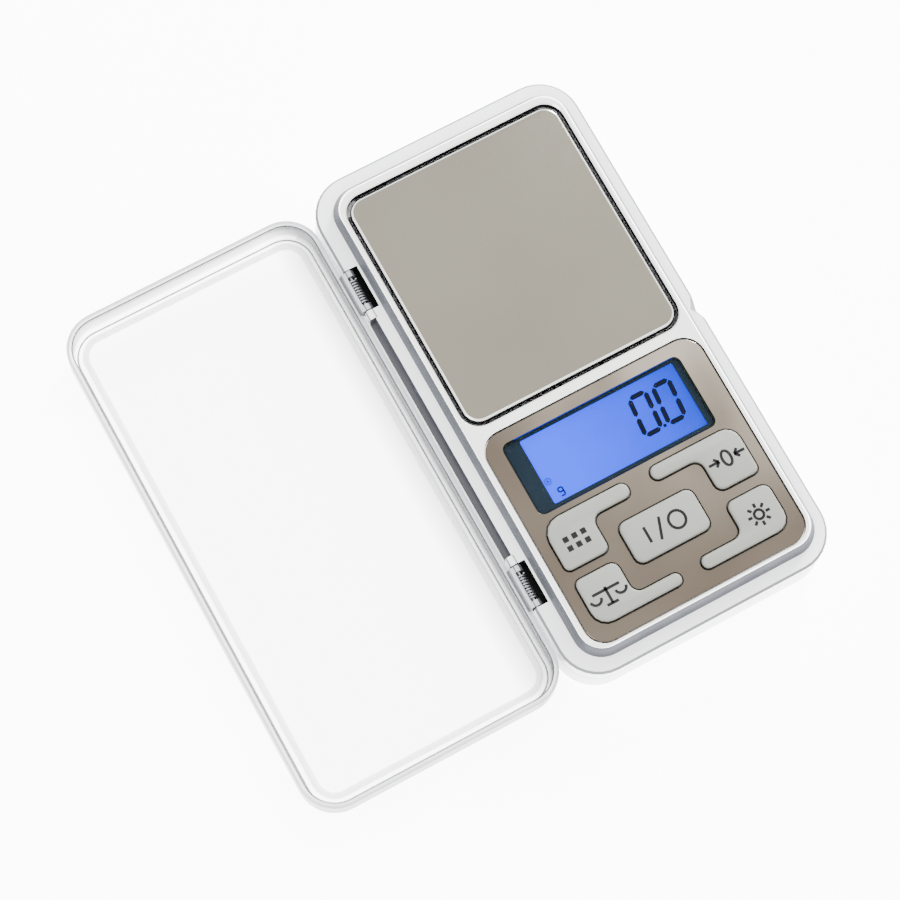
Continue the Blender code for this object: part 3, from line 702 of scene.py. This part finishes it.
@dataclass
class Lid:
    """The clear flip-over lid."""

    palette: Palette
    edge_mm: float = 0.3
    hinge_gap: float = 0.5
    corner_mm: float = 8.0
    corner_steps: int = 12
    bead_sides: int = 12
    rim_depth: float = 2.6
    hinge_wall: float = 6.5
    # dark beads are painted shade lines at the lid's edges; the glint bead is a painted highlight along the
    # inner fillet
    beads: tuple[Bead, ...] = (Bead("outer_shade_line", "lid_painted_shade_line", 0.26, 7.34, 0.26),
                               Bead("inner_shade_line", "lid_painted_shade_line", 1.15, 7.4, 0.15),
                               Bead("lower_shade_line", "lid_painted_shade_line", 1.9, 0.9, 0.2),
                               Bead("fillet_glint", "lid_glint", 3.6, 1.75, 0.75))

    def build(self) -> None:
        """Build the lid with rounded rims, painted shade on its hinge-side walls, and beads of painted shade
        and painted highlight.
        """
        shape = cad_shape("lid_cover")
        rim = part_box("lid_cover")[1].z
        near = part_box("lid_cover")[1].x
        for face in shape.faces:
            centre = face.calc_center_median()
            heights = [v.co.z for v in face.verts]
            if face.normal.z > 0.9 and min(heights) > rim - self.rim_depth * MM:
                face.material_index = 1
            # walls near the hinge side get the darker clear finish as painted shade
            elif centre.x > near - self.hinge_wall * MM and abs(face.normal.x) > 0.5:
                face.material_index = 2
        looks = [self.palette[key] for key in ("clear", "rim", "lid_wall")]
        lid = finish_piece("lid_cover_fine", shape, looks, Body.LID, ["lid_cover"],
                           self.edge_mm * MM, 3)
        for bead in self.beads:
            self.bead(bead)
        LOG.info("lid: %s", lid.name)

    def bead(self, bead: Bead) -> None:
        """Lay one round bead of painted shade or painted highlight along the lid's wall.

        Args:
            bead: Where it runs and what it looks like.
        """
        low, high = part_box("lid_cover")
        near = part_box("lower_housing")[0].x - self.hinge_gap * MM
        inset, radius = bead.inset * MM, self.corner_mm * MM - bead.inset * MM
        corners = [(low.x + inset, low.y + inset), (near - inset, low.y + inset),
                   (near - inset, high.y - inset), (low.x + inset, high.y - inset)]
        height = low.z + bead.height * MM
        shape = bmesh.new()
        loops = []
        for k, (x, y) in enumerate(corners):
            to_right = 1 if k in (0, 3) else -1
            to_far_end = 1 if k < 2 else -1
            middle = Vector((x + radius * to_right, y + radius * to_far_end, height))
            for step in range(self.corner_steps + 1):
                turn = math.radians(180 + 90 * k + 90 * step / self.corner_steps)
                out = Vector((math.cos(turn), math.sin(turn), 0.0))
                place = middle + radius * out
                section = [2 * math.pi * n / self.bead_sides for n in range(self.bead_sides)]
                loops.append([shape.verts.new(place + bead.radius * MM * (math.cos(a) * out
                                                                          + math.sin(a) * Vector((0, 0, 1))))
                              for a in section])
        for k, one in enumerate(loops):
            two = loops[(k + 1) % len(loops)]
            for n in range(self.bead_sides):
                after = (n + 1) % self.bead_sides
                shape.faces.new((one[n], one[after], two[after], two[n]))
        bmesh.ops.recalc_face_normals(shape, faces=shape.faces)
        finish_piece(f"lid_{bead.name}", shape, [self.palette[bead.finish]], Body.LID)


@dataclass
class Platform:
    """The weighing pan with the carrier and screws that it hides."""

    palette: Palette
    rim_mm: float = 0.3
    rim_steps: int = 4
    flat: float = 0.9
    sloping: float = 0.3

    def build(self) -> None:
        """Build the pan, with a painted highlight on its sloping edge and painted shade on its steep sides,
        and dress what is under it.
        """
        shape = cad_shape("weighing_platform")
        # sloping edge faces get the bright copy as painted highlight; steep side faces get near black as
        # painted shade
        for face in shape.faces:
            if face.normal.z < self.flat:
                face.material_index = 1 if face.normal.z > self.sloping else 2
        looks = [self.palette[key] for key in ("steel", "trim", "recess")]
        pan = finish_piece("weighing_platform_fine", shape, looks, Body.PLATFORM,
                           ["weighing_platform"], self.rim_mm * MM, self.rim_steps)
        # the rounded edge also gets the painted highlight
        pan.modifiers["edges"].material = 1
        LOG.info("platform: %s", pan.name)
        refine("platform_carrier", self.palette["shell"], Body.PLATFORM, 0.15)
        for number in (1, 2):
            refine(f"carrier_screw_{number}", self.palette["fastener"], Body.PLATFORM, 0.1)


@dataclass
class Display:
    """The window, its dark frame, the glowing glass and the segments of the readout."""

    palette: Palette
    digit_width: float = 3.75
    digit_height: float = 8.5
    stroke_width: float = 1.04
    slant: float = 0.095
    first_left: float = 6.75
    second_left: float = 12.35
    digit_foot: float = -20.35
    segment_gap: float = 0.17
    point: tuple[float, float, float] = (11.35, 0.1, 0.32)
    unit_place: tuple[float, float] = (-14.9, -23.3)
    unit_size: tuple[float, float] = (1.0, 0.9)
    unit_stroke: float = 0.3
    steady_place: tuple[float, float] = (-15.9, -19.3)
    steady_radius: float = 0.7
    steady_sides: int = 12
    steady_stroke: float = 0.18
    steady_dot: float = 0.2

    def build(self) -> None:
        """Build the display stack from the face inwards."""
        refine("display_lens", self.palette["window"], Body.BASE, 0.08)
        refine("display_bezel", self.palette["bezel"], Body.BASE, 0.05)
        refine("lcd_glass", self.palette["glow"], Body.BASE, 0.03)
        readout = self.readout()
        LOG.info("display: %s", readout.name)

    def readout(self) -> bpy.types.Object:
        """Build the dark segments of a zero reading, its point and its unit mark."""
        shape = bmesh.new()
        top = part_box("lcd_glass")[1].z
        middle_x = frame_middle_x()
        z0, z1 = top + 0.02 * MM, top + 0.06 * MM
        for left in (self.first_left, self.second_left):
            for outline in self.zero():
                prism(shape, [((x + left) * MM + middle_x, (y + self.digit_foot) * MM) for x, y in outline],
                      z0, z1)
        dot_x, rise, half = self.point
        for outline in [square(dot_x, self.digit_foot + rise, half), *self.unit_mark()]:
            prism(shape, [(x * MM + middle_x, y * MM) for x, y in outline], z0, z1)
        return finish_piece("readout_segments", shape, [self.palette["segment"]], Body.BASE)

    def zero(self) -> list[list[tuple[float, float]]]:
        """Return the outlines of one slanted seven-segment zero, in millimetres from its foot."""
        width, height, gap = self.digit_width, self.digit_height, self.segment_gap
        half = 0.5 * height
        runs = [((gap, 0.0), (width - gap, 0.0)), ((gap, height), (width - gap, height)),
                ((0.0, gap), (0.0, half - gap)), ((0.0, half + gap), (0.0, height - gap)),
                ((width, gap), (width, half - gap)), ((width, half + gap), (width, height - gap))]
        lean = self.slant
        return [[(x + lean * y, y) for x, y in stroke(a, b, self.stroke_width)] for a, b in runs]

    def unit_mark(self) -> list[list[tuple[float, float]]]:
        """Return the outlines of a small square g and of the round steady-reading mark."""
        x, y = self.unit_place
        wide, step = self.unit_size
        right, middle, top = x + wide, y + step, y + 2 * step
        runs = [((x, y), (right, y)), ((x, middle), (right, middle)), ((x, top), (right, top)),
                ((x, middle), (x, top)), ((right, y), (right, top))]
        outlines = [stroke(a, b, self.unit_stroke) for a, b in runs]
        cx, cy = self.steady_place
        turns = [2 * math.pi * k / self.steady_sides for k in range(self.steady_sides)]
        ring = [(cx + self.steady_radius * math.cos(t), cy + self.steady_radius * math.sin(t)) for t in turns]
        outlines += [stroke(ring[k - 1], ring[k], self.steady_stroke) for k in range(self.steady_sides)]
        outlines.append(square(cx, cy, self.steady_dot))
        return outlines


@dataclass
class Keypad:
    """The bronze panel and the five keys with their legends."""

    palette: Palette
    ink_mm: float = 0.03
    line_mm: float = 0.5
    legend_scale: float = 1.2
    sink_mm: float = 0.02
    key_edge_mm: float = 0.12
    count_square: float = 0.5

    def build(self) -> None:
        """Build the panel, the keys and the legends."""
        panel = refine("face_panel", self.palette["bronze"], Body.BASE, 0.06)
        LOG.info("panel: %s", panel.name)
        legends = {
            "key_power": (Body.POWER, (0.15, -39.15), self.power_legend()),
            "key_tare": (Body.TARE, (18.5, -32.7), self.tare_legend()),
            "key_light": (Body.LIGHT, (18.3, -46.2), self.light_legend()),
            "key_pieces": (Body.PIECES, (-17.1, -33.2), self.pieces_legend()),
            "key_units": (Body.UNITS, (-17.1, -46.2), self.units_legend()),
        }
        for node, (body, centre, outlines) in legends.items():
            self.key(node, body)
            self.print_legend(node, body, centre, outlines)
        LOG.info("keys: %d", len(legends))

    def key(self, node: str, body: Body) -> None:
        """Build one key whose steep sides get a dark copy of its finish as painted shade.

        Args:
            node: The key's node.
            body: The key's body.
        """
        shape = cad_shape(node)
        for face in shape.faces:
            # steep sides get the dark copy: painted shade
            face.material_index = 1 if face.normal.z < 0.25 else 0
        finish_piece(f"{node}_fine", shape, [self.palette["key"], self.palette["key_side_painted_shade"]], body,
                     [node], self.key_edge_mm * MM, 3)

    def print_legend(self, node: str, body: Body, centre: tuple[float, float],
                     outlines: list[list[tuple[float, float]]]) -> None:
        """Print outlines on a key's top.

        Args:
            node: The key's node.
            body: The key's body.
            centre: The legend's centre in millimetres from the housing's middle.
            outlines: Closed outlines in millimetres about that centre.
        """
        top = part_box(node)[1].z
        middle_x = frame_middle_x()
        shape = bmesh.new()
        for outline in outlines:
            prism(shape, [((self.legend_scale * x + centre[0]) * MM + middle_x,
                          (self.legend_scale * y + centre[1]) * MM) for x, y in outline],
                  top - self.sink_mm * MM, top + self.ink_mm * MM)
        finish_piece(f"{node}_legend", shape, [self.palette["ink"]], body)

    def ring(self, cx: float, cy: float, rx: float, ry: float, start: float = 0.0,
             sweep: float = 360.0) -> list[list[tuple[float, float]]]:
        """Return the strokes of an oval or of a part of one.

        Args:
            cx: Centre in X.
            cy: Centre in Y.
            rx: Half-width.
            ry: Half-height.
            start: Where it starts, in degrees.
            sweep: How far it goes round, in degrees.

        Returns:
            The outlines of its strokes.
        """
        count = max(6, int(abs(sweep) / 15))
        points = [(cx + rx * math.cos(math.radians(start + sweep * k / count)),
                   cy + ry * math.sin(math.radians(start + sweep * k / count))) for k in range(count + 1)]
        return [self.bar(points[k], points[k + 1]) for k in range(count)]

    def bar(self, start: tuple[float, float], end: tuple[float, float]) -> list[tuple[float, float]]:
        """Return a straight stroke with square ends."""
        a, b = Vector(start), Vector(end)
        side = (b - a).normalized() * (0.5 * self.line_mm)
        side = Vector((side.y, -side.x))
        return [tuple(a + side), tuple(b + side), tuple(b - side), tuple(a - side)]

    def power_legend(self) -> list[list[tuple[float, float]]]:
        """Return a bar, a slash and a ring: on and off."""
        outlines = [self.bar((-3.4, -1.5), (-3.4, 1.5)), self.bar((-1.6, -1.9), (-0.2, 1.9))]
        return outlines + self.ring(2.4, 0.0, 1.5, 1.6)

    def tare_legend(self) -> list[list[tuple[float, float]]]:
        """Return a zero between two arrows."""
        outlines = self.ring(0.0, 0.0, 0.8, 1.4)
        for side in (-1, 1):
            tip = 1.5 * side
            outlines += [self.bar((tip, 0.0), (3.5 * side, 0.0)), self.bar((tip, 0.0), (2.3 * side, 0.75)),
                         self.bar((tip, 0.0), (2.3 * side, -0.75))]
        return outlines

    def light_legend(self) -> list[list[tuple[float, float]]]:
        """Return a small sun."""
        outlines = self.ring(0.0, 0.0, 0.85, 0.85)
        near, far = 1.3, 2.1
        for k in range(8):
            turn = math.radians(45 * k)
            outlines.append(self.bar((near * math.cos(turn), near * math.sin(turn)),
                                     (far * math.cos(turn), far * math.sin(turn))))
        return outlines

    def pieces_legend(self) -> list[list[tuple[float, float]]]:
        """Return a block of six counted squares."""
        return [square(x, y, self.count_square) for x in (-1.7, 0.0, 1.7) for y in (-0.85, 0.85)]

    def units_legend(self) -> list[list[tuple[float, float]]]:
        """Return a balance beam with its two pans."""
        outlines = [self.bar((-2.6, 1.0), (2.6, 1.0)), self.bar((0.0, -1.6), (0.0, 1.5)),
                    self.bar((-1.1, -1.6), (1.1, -1.6))]
        for x in (-2.4, 2.4):
            outlines += self.ring(x, 0.1, 1.0, 0.9, 180.0, 180.0)
        return outlines


@dataclass
class Insides:
    """What the shells hide: board, load cell, cells and contacts."""

    palette: Palette
    edge_mm: float = 0.08
    finishes: dict[str, tuple[str, Slot]] = field(default_factory=lambda: {
        "backlight_guide": ("guide", Slot.GUIDE), "zebra_strip": ("mat", Slot.MAT),
        "main_board": ("board", Slot.BOARD), "key_mat": ("mat", Slot.MAT),
        "load_cell": ("aluminium", Slot.ALUMINIUM), "load_cell_spacer": ("aluminium", Slot.ALUMINIUM),
        "gauge_coating": ("potting", Slot.POTTING), "load_cell_cable": ("cable", Slot.CABLE),
        "battery_1": ("wrap", Slot.WRAP), "battery_2": ("wrap", Slot.WRAP),
    })
    steel: tuple[str, ...] = ("board_screw_1", "board_screw_2", "cell_screw_1", "cell_screw_2",
                              "contact_spring_1", "contact_spring_2", "contact_plate_1", "contact_plate_2")

    def build(self) -> None:
        """Give every inner node its finish."""
        for node, (key, slot) in self.finishes.items():
            self.dress(node, key)
        for node in self.steel:
            self.dress(node, "fastener")
        LOG.info("inner pieces: %d", len(self.finishes) + len(self.steel))

    def dress(self, node: str, key: str) -> None:
        """Give one CAD node a finish.

        Args:
            node: The node's name.
            key: The finish in the palette.
        """
        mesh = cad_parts[node].data
        mesh.materials.clear()
        mesh.materials.append(self.palette[key])


@dataclass
class Studio:
    """Floor, lights, surroundings and camera."""

    azimuth: float = -35.98
    elevation: float = 73.49
    roll: float = 7.44
    distance: float = 0.640
    aim: Point = (-0.02925, -0.0025, 0.0080)
    lens: float = 123.68
    floor_size: float = 4.0
    floor_glow: float = 8.0
    floor_bounce: float = 4.0
    sky: float = 3.4

    def build(self) -> None:
        """Build the whole set."""
        self.floor()
        self.surroundings()
        self.lights()
        self.camera()

    def floor(self) -> None:
        """Lay a plain pale floor under the scale."""
        shape = bmesh.new()
        half = 0.5 * self.floor_size
        shape.faces.new([shape.verts.new((x, y, 0.0)) for x, y in square(0.0, 0.0, half)])
        mesh = bpy.data.meshes.new("floor")
        shape.to_mesh(mesh)
        shape.free()
        finish = Finish("floor_pale", (0.93, 0.93, 0.93), (0.94, 0.94, 0.94), (0.6, 0.7),
                        grain=(400.0,) * 3, grain_depth=0.000005, patch=3.0)
        material = finish.make()
        shader = material.node_tree.nodes["Principled BSDF"]
        shader.inputs["Emission Color"].default_value = (1.0, 1.0, 1.0, 1.0)
        tree = material.node_tree
        path = tree.nodes.new("ShaderNodeLightPath")
        glow = tree.nodes.new("ShaderNodeMapRange")
        glow.inputs["To Min"].default_value = self.floor_bounce
        glow.inputs["To Max"].default_value = self.floor_glow
        tree.links.new(path.outputs["Is Camera Ray"], glow.inputs["Value"])
        tree.links.new(glow.outputs["Result"], shader.inputs["Emission Strength"])
        mesh.materials.append(material)
        floor = bpy.data.objects.new("floor", mesh)
        bpy.context.scene.collection.objects.link(floor)

    def surroundings(self) -> None:
        """Surround the set with soft white light, a little darker low down."""
        world = bpy.data.worlds.new("soft_studio")
        world.use_nodes = True
        bpy.context.scene.world = world
        tree = world.node_tree
        back = tree.nodes["Background"]
        place = tree.nodes.new("ShaderNodeTexCoord")
        split = tree.nodes.new("ShaderNodeSeparateXYZ")
        ramp = tree.nodes.new("ShaderNodeMapRange")
        mix = tree.nodes.new("ShaderNodeMix")
        mix.data_type = "RGBA"
        ramp.inputs["From Min"].default_value = -0.1
        ramp.inputs["From Max"].default_value = 0.9
        mix.inputs[6].default_value = (0.70, 0.71, 0.73, 1.0)
        mix.inputs[7].default_value = (1.0, 1.0, 1.0, 1.0)
        tree.links.new(place.outputs["Generated"], split.inputs["Vector"])
        tree.links.new(split.outputs["Z"], ramp.inputs["Value"])
        tree.links.new(ramp.outputs["Result"], mix.inputs[0])
        tree.links.new(mix.outputs[2], back.inputs["Color"])
        back.inputs["Strength"].default_value = self.sky

    def lights(self) -> None:
        """Hang a small bright soft box low on the far right and a wide weak one on the left."""
        for name, place, size, power in (("key_light", (0.88, 0.66, 0.44), 0.30, 42.0),
                                         ("fill_light", (-0.9, -0.3, 0.6), 0.6, 5.0)):
            data = bpy.data.lights.new(name, "AREA")
            data.size = size
            data.energy = power
            light = bpy.data.objects.new(name, data)
            light.location = place
            light.rotation_euler = (-Vector(place)).to_track_quat("-Z", "Y").to_euler()
            bpy.context.scene.collection.objects.link(light)

    def camera(self) -> None:
        """Stand the camera at the view's own angle."""
        az, el, roll = (math.radians(a) for a in (self.azimuth, self.elevation, self.roll))
        back = Vector((math.sin(az) * math.cos(el), -math.cos(az) * math.cos(el), math.sin(el)))
        level = Vector((math.cos(az), math.sin(az), 0.0))
        upright = back.cross(level)
        right = math.cos(roll) * level + math.sin(roll) * upright
        up = -math.sin(roll) * level + math.cos(roll) * upright
        aim = Vector(self.aim) + Vector((frame_middle_x(), 0.0, 0.0))
        data = bpy.data.cameras.new("camera")
        data.lens = self.lens
        data.sensor_width = 36.0
        data.clip_start = 0.01
        camera = bpy.data.objects.new("camera", data)
        turn = Matrix((right, up, back)).transposed().to_4x4()
        camera.matrix_world = Matrix.Translation(aim + self.distance * back) @ turn
        bpy.context.scene.collection.objects.link(camera)
        bpy.context.scene.camera = camera


def main() -> None:
    """Build the looks of every piece, in order."""
    logging.basicConfig(level=logging.INFO, format="%(name)s: %(message)s")
    palette = Palette()
    for part in (Housing(palette), Hinge(palette), Lid(palette), Platform(palette), Display(palette),
                 Keypad(palette), Insides(palette), Studio()):
        part.build()
        LOG.info("%s is built", type(part).__name__)


if __name__ == "__main__":
    main()
